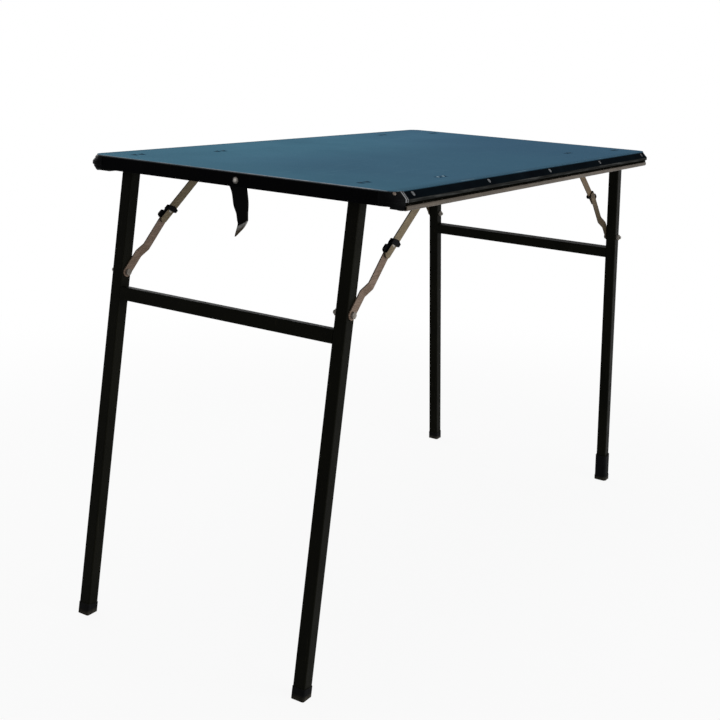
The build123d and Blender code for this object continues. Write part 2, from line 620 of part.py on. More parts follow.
def write_parts():
    os.makedirs("parts", exist_ok=True)

    save("top_panel", make_top_panel())
    side_rail = make_side_rail()
    save("side_rail_far", side_rail)
    save("side_rail_near", half_turn(side_rail))
    end_rail = make_end_rail()
    rivet_bore = Pos(-half_length, LATCH_OFFSET, latch_z) * Rot(0, 90, 0) * Cylinder(
        PIN_RADIUS + RUNNING_FIT, 4 * END_RAIL_DEPTH)
    save("end_rail_left", end_rail - rivet_bore)
    save("end_rail_right", half_turn(end_rail))

    holes = rivet_holes(corner_rivet_places())
    far_cap = make_corner_cap()
    near_cap = mirror(far_cap, about=Plane.XZ)
    save("corner_cap_left_far", far_cap - holes)
    save("corner_cap_left_near", near_cap - holes)
    save("corner_cap_right_near", half_turn(far_cap) - holes)
    save("corner_cap_right_far", half_turn(near_cap) - holes)

    flange_rivet = set_rivet(RIVET_RADIUS, RIVET_HEAD_RADIUS, RIVET_HEAD_HEIGHT,
                              SHEET_THICKNESS + RAIL_WALL, RIVET_TAIL_RADIUS, RIVET_HEAD_HEIGHT)
    bracket_rivet = set_rivet(RIVET_RADIUS, RIVET_HEAD_RADIUS, RIVET_HEAD_HEIGHT,
                               SHEET_THICKNESS + BRACKET_THICKNESS, RIVET_TAIL_RADIUS, RIVET_HEAD_HEIGHT)
    corner_rivet = dome_rivet(RIVET_RADIUS, CAP_RIVET_HEAD_RADIUS, RIVET_HEAD_HEIGHT, CAP_RIVET_LENGTH)
    save("flange_rivets", *[place * flange_rivet for place in flange_rivet_places()])
    save("bracket_rivets", *[place * bracket_rivet for place in bracket_rivet_places()])
    save("corner_rivets", *[place * corner_rivet for place in corner_rivet_places()])

    legs = {"far": far_leg_y, "near": near_leg_y}
    stays = {"far": far_stay_y, "near": near_stay_y}
    opposite = {"far": "near", "near": "far"}
    bracket_holes = rivet_holes(bracket_rivet_places())
    for side, y in legs.items():
        bracket = Pos(pivot_x, y, pivot_z) * make_leg_bracket() - bracket_holes
        save(f"leg_bracket_left_{side}", bracket)
        save(f"leg_bracket_right_{opposite[side]}", half_turn(bracket))
    for side, y in stays.items():
        bracket = Pos(anchor_x, y, anchor_z) * make_stay_bracket() - bracket_holes
        save(f"stay_bracket_left_{side}", bracket)
        save(f"stay_bracket_right_{opposite[side]}", half_turn(bracket))

    leg_pins = [Pos(pivot_x, y, pivot_z) * make_leg_pin() for y in legs.values()]
    anchor_pins = [Pos(anchor_x, y, anchor_z) * make_anchor_pin() for y in stays.values()]
    save("leg_pins", *leg_pins, *[half_turn(pin) for pin in leg_pins])
    save("anchor_pins", *anchor_pins, *[half_turn(pin) for pin in anchor_pins])
    save("latch_rivet", make_latch_rivet())
    save("latch", make_latch())

    for side, y in legs.items():
        leg = make_leg(y, FOOT_FLOOR)
        foot = make_foot(y)
        save(f"leg_left_{side}", leg)
        save(f"foot_left_{side}", foot)
        if side == "far":
            save("leg_right_near", half_turn(make_leg(y, BOOT_FLOOR + FACE_GAP)))
            save("levelling_foot", half_turn(make_boot(y)))
            save("levelling_stud", half_turn(stud_rod(y, STUD_RADIUS)))
            save("levelling_nut", half_turn(make_foot_nut(y)))
        else:
            save("leg_right_far", half_turn(leg))
            save("foot_right_far", half_turn(foot))
    crossbar = make_crossbar()
    save("crossbar_left", crossbar)
    save("crossbar_right", half_turn(crossbar))

    bolt_places = [link_place(bolt_x, y, bolt_z, lower_angle) for y in stays.values()]
    bolts = [place * make_stay_bolt() for place in bolt_places]
    nuts = [place * make_stay_nut() for place in bolt_places]
    save("stay_bolts_left", *bolts)
    save("stay_nuts_left", *nuts)
    save("stay_bolts_right", *[half_turn(bolt) for bolt in bolts])
    save("stay_nuts_right", *[half_turn(nut) for nut in nuts])

    pieces = {
        "lower_link": (make_lower_link(), bolt_x, bolt_z, lower_angle),
        "knuckle_back": (make_knuckle_back(), bolt_x, bolt_z, lower_angle),
        "upper_link": (make_upper_link(), knee_x, knee_z, upper_angle),
        "knuckle_front": (make_knuckle_front(), knee_x, knee_z, upper_angle),
        "lock_slider": (make_slider(), knee_x, knee_z, upper_angle),
    }
    for name, (piece, x, z, angle) in pieces.items():
        for side, y in stays.items():
            placed = link_place(x, y, z, angle) * piece
            save(f"{name}_left_{side}", placed)
            save(f"{name}_right_{opposite[side]}", half_turn(placed))


def report_linkage():
    """Angles and lengths that the joints of the folding stays use."""
    lower_turn = 180 - lower_angle - fold_angle
    print(f"pivot {pivot_x:.3f} {pivot_z:.3f}, bolt {bolt_x:.3f} {bolt_z:.3f}")
    print(f"anchor {anchor_x:.3f} {anchor_z:.3f}, knee {knee_x:.3f} {knee_z:.3f}")
    print(f"fold {fold_angle:.3f}, upper link turns {-upper_angle:.4f}, lower link turns {lower_turn:.4f}")
    print(f"lower length {lower_length:.2f}, upper length {upper_length:.2f}, angles {lower_angle:.3f} {upper_angle:.3f}")


write_parts()
report_linkage()
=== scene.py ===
import bpy
import bmesh
import math
from mathutils import Matrix, Vector


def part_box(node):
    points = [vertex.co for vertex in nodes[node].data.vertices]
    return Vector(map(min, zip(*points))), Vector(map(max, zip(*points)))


# Folding camping table: procedural materials for the CAD pieces, a plain studio and the photo's camera.
# Lengths and places are in metres, lamp power is in watts and a noise's scale is in features per metre.

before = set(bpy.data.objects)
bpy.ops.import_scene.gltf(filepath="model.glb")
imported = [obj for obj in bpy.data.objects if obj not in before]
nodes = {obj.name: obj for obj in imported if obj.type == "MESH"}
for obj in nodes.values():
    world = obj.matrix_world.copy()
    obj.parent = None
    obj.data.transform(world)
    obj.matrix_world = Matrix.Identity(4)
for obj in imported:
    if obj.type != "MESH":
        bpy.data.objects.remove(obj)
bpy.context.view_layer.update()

SIDES = ("left", "right")
DEPTHS = ("near", "far")
CORNERS = ("left_far", "left_near", "right_near", "right_far")

# Places that the materials follow, from the frame's boxes
panel_low, panel_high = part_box("top_panel")
rail_low, rail_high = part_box("side_rail_far")
half_length, flange_outer, sheet_top = panel_high
lip_end = panel_low[2]
rail_bottom = rail_low[2]
flange_reach = rail_high[0]

# Profile of the top's long edges
FLANGE_RUN = 0.0105
FLANGE_DROP = 0.0110
fold = flange_outer - FLANGE_RUN
flange_end = sheet_top - FLANGE_DROP

# Rivet pairs of the brackets on the right half of the top, from the outer rivet inwards
RIVET_PITCH = 0.0170
LEG_RIVET_X = 0.4780
LEG_RIVET_ROWS = (-0.2305, 0.1985)
STAY_RIVET_X = 0.3110
STAY_RIVET_ROWS = (-0.1955, 0.2335)
rivet_places = [(outer - step * RIVET_PITCH, row, 0)
                for outer, rows in ((LEG_RIVET_X, LEG_RIVET_ROWS), (STAY_RIVET_X, STAY_RIVET_ROWS))
                for row in rows for step in (0, 1)]

# Slope of the upper links, which the brushed grain of the stays follows
STAY_SLOPE = math.radians(37.4)

# Nearly all values of a noise lie between these two
NOISE_LOW = 0.3
NOISE_HIGH = 0.7

# Usual places of the tones along a noise, from dark to light
THREE_TONES = (0.3, 0.5, 0.72)
TWO_TONES = (0.3, 0.7)

# Depth of the fine grain of a finish
GRAIN_DEPTH = 0.0003


# Helpers

def rgb(*values):
    """Red, green and blue in sRGB, 0..255, to a linear colour."""
    linear = []
    for value in values:
        share = value / 255
        linear.append(share / 12.92 if share <= 0.04045 else ((share + 0.055) / 1.055) ** 2.4)
    return (*linear, 1.0)


class Tree:
    """Small wrapper to write a shader tree in a few lines, in the object's own coordinates."""

    def __init__(self, name):
        self.material = bpy.data.materials.new(name)
        self.material.use_nodes = True
        self.nodes = self.material.node_tree.nodes
        self.links = self.material.node_tree.links
        self.nodes.clear()
        self.out = self.nodes.new("ShaderNodeOutputMaterial")
        self.shader = self.nodes.new("ShaderNodeBsdfPrincipled")
        self.links.new(self.shader.outputs[0], self.out.inputs[0])
        self.place = self.nodes.new("ShaderNodeTexCoord").outputs["Object"]

    def add(self, kind, **values):
        node = self.nodes.new(kind)
        for key, value in values.items():
            setattr(node, key, value)
        return node

    def put(self, target, value):
        """Link an output to a socket, or set the socket to a constant."""
        if hasattr(value, "is_output"):
            self.links.new(value, target)
        else:
            target.default_value = value

    # Arithmetic

    def math(self, operation, a, b=0.5, clamp=False):
        node = self.add("ShaderNodeMath", operation=operation, use_clamp=clamp)
        self.put(node.inputs[0], a)
        self.put(node.inputs[1], b)
        return node.outputs[0]

    def times(self, a, b):
        return self.math("MULTIPLY", a, b)

    def size(self, value):
        """Value without its sign."""
        return self.math("ABSOLUTE", value)

    def hypot(self, a, b):
        return self.math("SQRT", self.math("ADD", self.times(a, a), self.times(b, b)))

    def range(self, value, start, end, first=0.0, last=1.0, smooth=True):
        """First where the value is at start, last where it is at end, and never past either."""
        node = self.add("ShaderNodeMapRange")
        node.interpolation_type = "SMOOTHSTEP" if smooth else "LINEAR"
        self.put(node.inputs["Value"], value)
        node.inputs["From Min"].default_value = start
        node.inputs["From Max"].default_value = end
        node.inputs["To Min"].default_value = first
        node.inputs["To Max"].default_value = last
        return node.outputs[0]

    def band(self, value, start, end, soft):
        """1 between start and end, with soft ends."""
        rise = self.range(value, start - soft, start)
        return self.times(rise, self.range(value, end, end + soft, 1.0, 0.0))

    def mix(self, factor, under, over):
        """Colour under where the factor is 0 and colour over where it is 1."""
        node = self.add("ShaderNodeMix", data_type="RGBA")
        self.put(node.inputs[0], factor)
        self.put(node.inputs[6], under)
        self.put(node.inputs[7], over)
        return node.outputs[2]

    def tones(self, factor, colours, places):
        """Colours at their places along a factor."""
        node = self.add("ShaderNodeValToRGB")
        self.put(node.inputs[0], factor)
        elements = node.color_ramp.elements
        while len(elements) < len(colours):
            elements.new(0.5)
        for element, place, colour in zip(elements, places, colours):
            element.position = place
            element.color = colour
        return node.outputs[0]

    # Places and directions

    def xyz(self):
        node = self.add("ShaderNodeSeparateXYZ")
        self.links.new(self.place, node.inputs[0])
        return node.outputs

    def distance(self, place, point):
        node = self.add("ShaderNodeVectorMath", operation="DISTANCE")
        self.put(node.inputs[0], place)
        self.put(node.inputs[1], point)
        return node.outputs["Value"]

    def dot(self, a, b):
        node = self.add("ShaderNodeVectorMath", operation="DOT_PRODUCT")
        self.put(node.inputs[0], a)
        self.put(node.inputs[1], b)
        return node.outputs["Value"]

    def normal(self, kind):
        return self.add("ShaderNodeNewGeometry").outputs[kind]

    def towards(self, axis):
        """How far the true normal points along an axis, -1..1."""
        return self.dot(self.normal("True Normal"), axis)

    def rounded(self, radius, samples=6):
        """Normal of the surface with its sharp edges rounded."""
        bevel = self.add("ShaderNodeBevel", samples=samples)
        bevel.inputs["Radius"].default_value = radius
        return bevel.outputs[0]

    def edges(self, normal, low=0.03, high=0.16):
        """1 on sharp edges and 0 on flats, from a rounded normal."""
        turn = self.math("SUBTRACT", 1.0, self.dot(normal, self.normal("Normal")), clamp=True)
        return self.range(turn, low, high)

    # Patterns

    def noise(self, scale, detail=4, rough=0.55, vector=None, distortion=0.0):
        node = self.add("ShaderNodeTexNoise")
        self.put(node.inputs["Vector"], vector or self.place)
        node.inputs["Scale"].default_value = scale
        node.inputs["Detail"].default_value = detail
        node.inputs["Roughness"].default_value = rough
        node.inputs["Distortion"].default_value = distortion
        return node.outputs["Fac"]

    def cells(self, scale):
        """Distance from the middle of the nearest cell."""
        node = self.add("ShaderNodeTexVoronoi", feature="F1")
        self.links.new(self.place, node.inputs["Vector"])
        node.inputs["Scale"].default_value = scale
        return node.outputs["Distance"]

    def streaks(self, scales, detail, rough, turn=(0, 0, 0), shift=(0, 0, 0)):
        """Noise with its own scale along each axis."""
        node = self.add("ShaderNodeMapping")
        self.links.new(self.place, node.inputs["Vector"])
        node.inputs["Scale"].default_value = scales
        node.inputs["Rotation"].default_value = turn
        node.inputs["Location"].default_value = shift
        return self.noise(1.0, detail, rough, node.outputs[0])

    def patches(self, noise, start, full, least=0.0, most=1.0):
        """Least where a noise, given as scale, detail and roughness, is under start, and most over full."""
        return self.range(self.noise(*noise), start, full, least, most)

    def wander(self, noise, low, high):
        """Value that wanders between two others with a noise."""
        return self.range(self.noise(*noise), NOISE_LOW, NOISE_HIGH, low, high, smooth=False)

    def specks(self, scale, core, rim):
        """1 in small round spots that are full up to core and end at rim, in parts of a cell."""
        return self.range(self.cells(scale), core, rim, 1.0, 0.0)

    def bump(self, height, strength, depth, normal):
        node = self.add("ShaderNodeBump")
        node.inputs["Strength"].default_value = strength
        node.inputs["Distance"].default_value = depth
        self.put(node.inputs["Height"], height)
        self.links.new(normal, node.inputs["Normal"])
        return node.outputs[0]

    def grain(self, noise, strength, depth, normal):
        """Bump of a noise."""
        return self.bump(self.noise(*noise), strength, depth, normal)

    def surface(self, colour, roughness, normal, **constants):
        """Finish the shader and give back its material."""
        inputs = self.shader.inputs
        self.put(inputs["Base Color"], colour)
        self.put(inputs["Roughness"], roughness)
        self.links.new(normal, inputs["Normal"])
        for key, value in constants.items():
            inputs[key.replace("_", " ")].default_value = value
        return self.material


def dress(material, *names):
    for name in names:
        obj = nodes[name]
        obj.data.materials.clear()
        obj.data.materials.append(material)


# Paint of the top sheet: blue-grey on top, near-black on the turned-down long edges

def sheet_colour(tree, x, y):
    """Clouded blue-grey, with painted shade that turns it to slate at the right end and darkens it towards
    the near side.
    """
    teal = (rgb(56, 93, 112), rgb(63, 102, 121), rgb(69, 109, 129))
    shade_slate = (rgb(50, 81, 103), rgb(56, 88, 111), rgb(63, 96, 119))
    near_shade_slate = rgb(44, 70, 93)
    cloud = tree.noise(2.6, 6, 0.6, distortion=0.4)
    # Painted shade: the top drifts to the darker slate towards the right end
    shade_drift = tree.math("ADD", x, tree.times(tree.noise(1.7, 3, 0.5), 0.9))
    colour = tree.mix(tree.range(shade_drift, 0.25, 1.0, 0.0, 0.85),
                      tree.tones(cloud, teal, THREE_TONES), tree.tones(cloud, shade_slate, THREE_TONES))
    # Painted shade towards the near side, weaker at both short ends
    near_shade = tree.range(y, 0.20, -0.06, 0.0, 0.55)
    near_shade_left_fade = tree.range(x, -0.52, -0.30, 0.3, 1.0)
    near_shade_right_fade = tree.range(x, 0.2, 0.5, 1.0, 0.7)
    return tree.mix(tree.times(tree.times(near_shade, near_shade_left_fade), near_shade_right_fade), colour, near_shade_slate)


def sheet_specks(tree, colour):
    """Fine light and dark specks of the paint, and drifts of pale dust."""
    light, dark, dust = rgb(84, 121, 139), rgb(50, 83, 101), rgb(120, 146, 156)
    colour = tree.mix(tree.patches((520, 3, 0.65), 0.42, 0.75, most=0.30), colour, light)
    colour = tree.mix(tree.patches((310, 3, 0.6), 0.5, 0.7, most=0.20), colour, dark)
    drifts = tree.times(tree.specks(160, 0.02, 0.10), tree.patches((9, 3, 0.6), 0.5, 0.66, most=0.5))
    return tree.mix(drifts, colour, dust)


def scratches(tree, along, across, turn, shift, low, high):
    """Thin broken scratches: a noise stretched along one direction in the plane of the top."""
    streaks = tree.streaks((along, across, across), 2, 0.5, (0, 0, turn), (shift, shift, 0))
    return tree.range(streaks, low, high)


def sheet_scratches(tree):
    """Two families of scratches, stronger in some parts of the top."""
    long = scratches(tree, 7, 420, 0.35, 3.0, 0.66, 0.74)
    short = scratches(tree, 9, 520, -0.9, 11.0, 0.67, 0.75)
    return tree.times(tree.math("MAXIMUM", long, short), tree.patches((4.0, 3, 0.5), 0.45, 0.65, 0.1, 0.45))


def rivet_grime_and_shade(tree, x, y):
    """Grime and painted contact shade round each rivet of the brackets. A half turn takes the left half of
    the top to the right half.
    """
    full_radius, end_radius, strength = 0.0042, 0.0085, 0.95
    side = tree.math("SIGN", x)
    turned = tree.add("ShaderNodeCombineXYZ")
    tree.links.new(tree.times(x, side), turned.inputs[0])
    tree.links.new(tree.times(y, side), turned.inputs[1])
    spots = [tree.range(tree.distance(turned.outputs[0], place), full_radius, end_radius, strength, 0.0)
             for place in rivet_places]
    darkening = spots[0]
    for spot in spots[1:]:
        darkening = tree.math("MAXIMUM", darkening, spot)
    return darkening


def sheet_edges(tree, colour, ahead, away, y):
    """Painted shade before the folds, then worn paint and a painted highlight along the short ends, lighter
    on the near side, and a faint painted highlight with a little wear along the folds.
    """
    darkening = rgb(40, 60, 72)
    far_end_wear_and_highlight, near_end_wear_and_highlight, fold_wear_and_highlight_colour = rgb(128, 136, 142), rgb(158, 162, 168), rgb(126, 148, 158)
    fold_shade_width, end_wear_and_highlight_width, fold_wear_and_highlight_width = 0.018, 0.0045, 0.0015
    # Painted shade on the top just before each fold, where the sheet rounds over
    colour = tree.mix(tree.range(away, fold - fold_shade_width, fold - 0.0005, 0.0, 0.35), colour, darkening)
    # Worn paint and a painted highlight on the rolled short ends, lighter on the near side
    end_wear_and_highlight = tree.times(tree.range(ahead, half_length - end_wear_and_highlight_width, half_length - 0.0015),
                      tree.patches((36, 4, 0.6), 0.36, 0.6, 0.5, 1.0))
    colour = tree.mix(end_wear_and_highlight, colour, tree.mix(tree.range(y, 0.1, -0.05), far_end_wear_and_highlight, near_end_wear_and_highlight))
    # A faint painted highlight along each fold, with a little wear
    fold_wear_and_highlight = tree.times(tree.band(away, fold - fold_wear_and_highlight_width, fold - 0.0003, 0.0012),
                      tree.patches((24, 4, 0.6), 0.5, 0.64, most=0.3))
    return tree.mix(fold_wear_and_highlight, colour, fold_wear_and_highlight_colour)


def flange_colour(tree, colour, slope, ahead, away, x, z):
    """Turned-down edge: a dark slope, then a grey painted highlight along the lip, streaked along its length,
    and bright cut ends, partly a painted highlight.
    """
    black = (rgb(3, 5, 8), rgb(5, 10, 14), rgb(13, 19, 25))
    lip_highlight_tones = (rgb(22, 22, 21), rgb(35, 36, 35), rgb(62, 63, 62))
    rim_colour, bare_steel_and_highlight = rgb(126, 128, 130), rgb(206, 208, 212)
    colour = tree.mix(slope, colour, tree.tones(tree.noise(14, 5, 0.6), black, (0.35, 0.6, 0.8)))
    # Painted highlight: the lip is greyed where its rolled lower edge would catch light
    lip_highlight = tree.times(slope, tree.range(z, flange_end + 0.0002, flange_end - 0.0008))
    colour = tree.mix(lip_highlight, colour, tree.tones(tree.streaks((16, 300, 300), 4, 0.6), lip_highlight_tones, (0.32, 0.52, 0.7)))
    rim = tree.times(tree.range(ahead, flange_reach - 0.0024, flange_reach - 0.0016),
                     tree.range(away, fold, fold + 0.0006))
    colour = tree.mix(tree.times(rim, tree.range(x, 0.0, 0.4, 0.2, 0.05)), colour, rim_colour)
    # Bare cut ends, made brighter than bare steel as a painted highlight on faces that sit in shade
    end_face = tree.times(tree.size(tree.towards((1, 0, 0))), tree.range(away, fold - 0.010, fold - 0.004))
    cut = tree.times(end_face, tree.range(z, sheet_top - 0.0012, sheet_top - 0.0020))
    return tree.mix(tree.range(cut, 0.4, 0.6), colour, bare_steel_and_highlight)


def top_paint():
    tree = Tree("top_paint")
    x, y, z = tree.xyz()
    ahead = tree.size(x)
    away = tree.size(y)
    marks = sheet_scratches(tree)
    slope = tree.range(away, fold - 0.0003, fold + 0.0022)
    colour = sheet_specks(tree, sheet_colour(tree, x, y))
    colour = tree.mix(marks, colour, rgb(98, 133, 148))
    # Dark rings of grime and painted contact shade round the bracket rivets
    colour = tree.mix(rivet_grime_and_shade(tree, x, y), colour, rgb(17, 46, 65))
    colour = sheet_edges(tree, colour, ahead, away, y)
    colour = flange_colour(tree, colour, slope, ahead, away, x, z)
    normal = tree.grain((1100, 2, 0.5), 0.18, GRAIN_DEPTH, tree.rounded(0.0006))
    normal = tree.grain((7, 3, 0.5), 0.10, 0.002, normal)
    normal = tree.bump(marks, 0.25, 0.0002, normal)
    tree.put(tree.shader.inputs["Coat Normal"], normal)
    tree.put(tree.shader.inputs["Coat Weight"], tree.range(slope, 0.0, 1.0, 0.035, 0.012))
    return tree.surface(colour, tree.wander((45, 5, 0.65), 0.42, 0.60), normal,
                        Specular_IOR_Level=0.0, Coat_Roughness=0.42)


# Other paints and plastics

def rail_paint():
    """Enamel of the side rails: a dull bronze-grey bead, with grime and painted shade in the groove above it.
    """
    bronze = (rgb(58, 52, 45), rgb(72, 65, 57), rgb(90, 82, 72))
    speck, darkening, shaded, chipped = rgb(104, 97, 87), rgb(7, 7, 5), rgb(30, 30, 29), rgb(140, 134, 124)
    tree = Tree("rail_paint")
    y, z = tree.xyz()[1:]
    along = tree.streaks((12, 260, 260), 5, 0.6)
    colour = tree.tones(along, bronze, THREE_TONES)
    colour = tree.mix(tree.patches((640, 2, 0.6), 0.45, 0.7, most=0.3), colour, speck)
    groove_low, groove_high = rail_bottom + 0.0073, rail_bottom + 0.0125
    # Grime and painted shade darken the groove above the bead
    groove = tree.band(z, groove_low, groove_high, 0.0004)
    colour = tree.mix(groove, colour, darkening)
    inside = tree.range(tree.size(y), flange_outer - 0.0070, flange_outer - 0.0090)
    colour = tree.mix(inside, colour, shaded)
    rounded = tree.rounded(0.0008)
    chips = tree.times(tree.edges(rounded), tree.patches((120, 5, 0.65), 0.5, 0.62, most=0.6))
    colour = tree.mix(chips, colour, chipped)
    normal = tree.grain((900, 2, 0.5), 0.14, GRAIN_DEPTH, rounded)
    normal = tree.bump(along, 0.12, 0.0006, normal)
    tree.put(tree.shader.inputs["Specular IOR Level"], tree.range(groove, 0.0, 1.0, 0.10, 0.0))
    return tree.surface(colour, tree.wander((70, 4, 0.6), 0.38, 0.56), normal)


def black_paint(name, dark, light, dust_and_sheen, chipped, level, chipping, rim=False):
    """Black enamel with a fine orange-peel skin, faint dust, a faint painted highlight along the edges,
    chipped edges and at will a painted highlight on the upper rim.
    """
    tree = Tree(name)
    colour = tree.tones(tree.noise(11, 5, 0.6), (dark, light), (0.32, 0.66))
    dust = tree.times(tree.patches((700, 2, 0.6), 0.52, 0.72), tree.patches((6, 3, 0.5), 0.4, 0.65, 0.1, 0.5))
    colour = tree.mix(dust, colour, dust_and_sheen)
    scuffs = tree.range(tree.streaks((300, 300, 9), 2, 0.5), 0.66, 0.76, 0.0, 0.4)
    colour = tree.mix(scuffs, colour, dust_and_sheen)
    rounded = tree.rounded(0.0011)
    edge = tree.edges(rounded, 0.02, 0.14)
    # Faint painted highlight along all edges, in the dust colour
    colour = tree.mix(tree.times(edge, 0.3), colour, dust_and_sheen)
    chips = tree.times(edge, tree.patches((150, 5, 0.7), 0.56, 0.66, most=chipping))
    colour = tree.mix(chips, colour, chipped)
    # Painted highlight: a grey upper rim where the rounded top edge catches light
    if rim:
        upper = tree.range(tree.xyz()[2], sheet_top - 0.0026, sheet_top - 0.0010, 0.0, 0.85)
        colour = tree.mix(upper, colour, rgb(72, 74, 77))
    rough = tree.math("ADD", tree.wander((60, 5, 0.65), 0.34, 0.52), tree.times(dust, 0.15))
    normal = tree.grain((820, 2, 0.5), 0.10, GRAIN_DEPTH, rounded)
    normal = tree.grain((26, 3, 0.5), 0.05, 0.0012, normal)
    return tree.surface(colour, rough, normal, Specular_IOR_Level=level)


def cap_rims(tree, colour):
    """Worn seam of a corner cap beside the flange, fainter to the right, and a painted highlight on the rim
    under the sheet.
    """
    seam_wear, rim_colour = rgb(136, 138, 140), rgb(80, 82, 85)
    x, y, z = tree.xyz()
    seam = tree.times(tree.range(tree.size(x), flange_reach + 0.0032, flange_reach + 0.0024),
                      tree.range(tree.size(y), fold - 0.0030, fold - 0.0024))
    seam = tree.times(seam, tree.range(z, lip_end - 0.0005, lip_end + 0.0005))
    colour = tree.mix(tree.times(seam, tree.range(x, 0.0, 0.4, 0.9, 0.15)), colour, seam_wear)
    # Painted highlight on the cap's rounded rim just under the sheet
    return tree.mix(tree.range(z, sheet_top - 0.0024, sheet_top - 0.0006, 0.0, 0.85), colour, rim_colour)


def moulded_plastic(name, texture_scale, rims=False):
    """Moulded black plastic: a fine spark texture, rubbed edges and at will the rims of a corner cap."""
    black = (rgb(2, 2, 3), rgb(7, 7, 8))
    pale_tone, speck = rgb(46, 48, 46), rgb(40, 41, 40)
    tree = Tree(name)
    colour = tree.tones(tree.noise(18, 5, 0.6), black, (0.32, 0.68))
    rounded = tree.rounded(0.0016)
    pale_mask = tree.times(tree.edges(rounded, 0.01, 0.12), tree.patches((60, 4, 0.6), 0.4, 0.65, 0.1, 0.5))
    colour = tree.mix(pale_mask, colour, pale_tone)
    colour = tree.mix(tree.patches((900, 2, 0.6), 0.58, 0.74, most=0.25), colour, speck)
    if rims:
        colour = cap_rims(tree, colour)
    normal = tree.bump(tree.cells(texture_scale), 0.20, GRAIN_DEPTH, rounded)
    normal = tree.grain((22, 3, 0.5), 0.10, 0.0015, normal)
    return tree.surface(colour, tree.wander((80, 4, 0.6), 0.46, 0.62), normal, Specular_IOR_Level=0.02)


def foot_rubber():
    """Black rubber feet, greyed by dust towards the floor."""
    black = (rgb(6, 6, 7), rgb(12, 12, 13))
    dust, pale_tone = rgb(76, 72, 64), rgb(46, 45, 42)
    dust_height = 0.010
    tree = Tree("foot_rubber")
    colour = tree.tones(tree.noise(40, 5, 0.65), black, TWO_TONES)
    low = tree.range(tree.xyz()[2], dust_height, 0.0, 0.0, 0.7)
    colour = tree.mix(tree.times(low, tree.patches((95, 5, 0.7), 0.35, 0.65, 0.3, 1.0)), colour, dust)
    rounded = tree.rounded(0.0012)
    pale_mask = tree.times(tree.edges(rounded, 0.02, 0.14), tree.patches((130, 4, 0.6), 0.4, 0.6, 0.2, 0.7))
    colour = tree.mix(pale_mask, colour, pale_tone)
    normal = tree.grain((1200, 3, 0.6), 0.25, GRAIN_DEPTH, rounded)
    normal = tree.grain((60, 3, 0.6), 0.20, 0.0006, normal)
    return tree.surface(colour, tree.wander((70, 4, 0.6), 0.62, 0.82), normal, Specular_IOR_Level=0.04)


def painted_rivets():
    """Rivet heads painted over with the sheet, with a painted highlight on their left side, strongest on the
    near left stay's pair.
    """
    blue = (rgb(9, 27, 40), rgb(19, 46, 63))
    pale_tone, tail = rgb(138, 164, 178), rgb(150, 148, 142)
    near_left_pair = (RIVET_PITCH / 2 - STAY_RIVET_X, -STAY_RIVET_ROWS[1], sheet_top)
    tree = Tree("painted_rivets")
    z = tree.xyz()[2]
    colour = tree.tones(tree.noise(260, 4, 0.6), blue, TWO_TONES)
    # Painted highlight on the left side of the domes, strongest at the near left stay's pair
    near_pair_highlight = tree.range(tree.distance(tree.place, near_left_pair), 0.03, 0.10, 0.9, 0.15)
    pale_mask = tree.times(tree.range(tree.towards((-1, 0, 0)), 0.10, 0.28), near_pair_highlight)
    colour = tree.mix(tree.times(pale_mask, tree.range(z, sheet_top, sheet_top + 0.0003)), colour, pale_tone)
    colour = tree.mix(tree.range(z, sheet_top - 0.0005, sheet_top - 0.0010), colour, tail)
    normal = tree.grain((1400, 2, 0.5), 0.2, 0.0002, tree.rounded(0.0003))
    return tree.surface(colour, tree.wander((400, 3, 0.6), 0.34, 0.5), normal, Specular_IOR_Level=0.0)


# Bare steels

def link_steel(name, turn, colours, shade=0.0):
    """Dull rolled steel, brushed along each link, with brown stains and at will a darker lower end."""
    stained, bare, rusted, shaded = rgb(76, 61, 46), rgb(142, 132, 118), rgb(52, 43, 33), rgb(24, 22, 15)
    tree = Tree(name)
    brushing = tree.streaks((30, 900, 900), 4, 0.65, (0, turn, 0))
    colour = tree.tones(brushing, colours, THREE_TONES)
    stain = tree.range(tree.noise(26, 6, 0.65, distortion=0.6), 0.5, 0.68, 0.0, 0.55)
    colour = tree.mix(stain, colour, stained)
    rounded = tree.rounded(0.0007)
    colour = tree.mix(tree.times(tree.edges(rounded), 0.5), colour, bare)
    pits = tree.times(tree.specks(420, 0.04, 0.16), tree.patches((18, 3, 0.6), 0.5, 0.65, most=0.6))
    colour = tree.mix(pits, colour, rusted)
    if shade:
        low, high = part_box("lower_link_right_near")
        colour = tree.mix(tree.range(tree.xyz()[2], high[2], low[2], 0.0, shade), colour, shaded)
    rough = tree.range(brushing, NOISE_LOW, NOISE_HIGH, 0.42, 0.60, smooth=False)
    rough = tree.math("ADD", rough, tree.times(stain, 0.2), clamp=True)
    normal = tree.bump(brushing, 0.22, GRAIN_DEPTH, rounded)
    normal = tree.bump(pits, 0.35, -0.0002, normal)
    return tree.surface(colour, rough, normal, Specular_IOR_Level=0.12, Metallic=0.3)


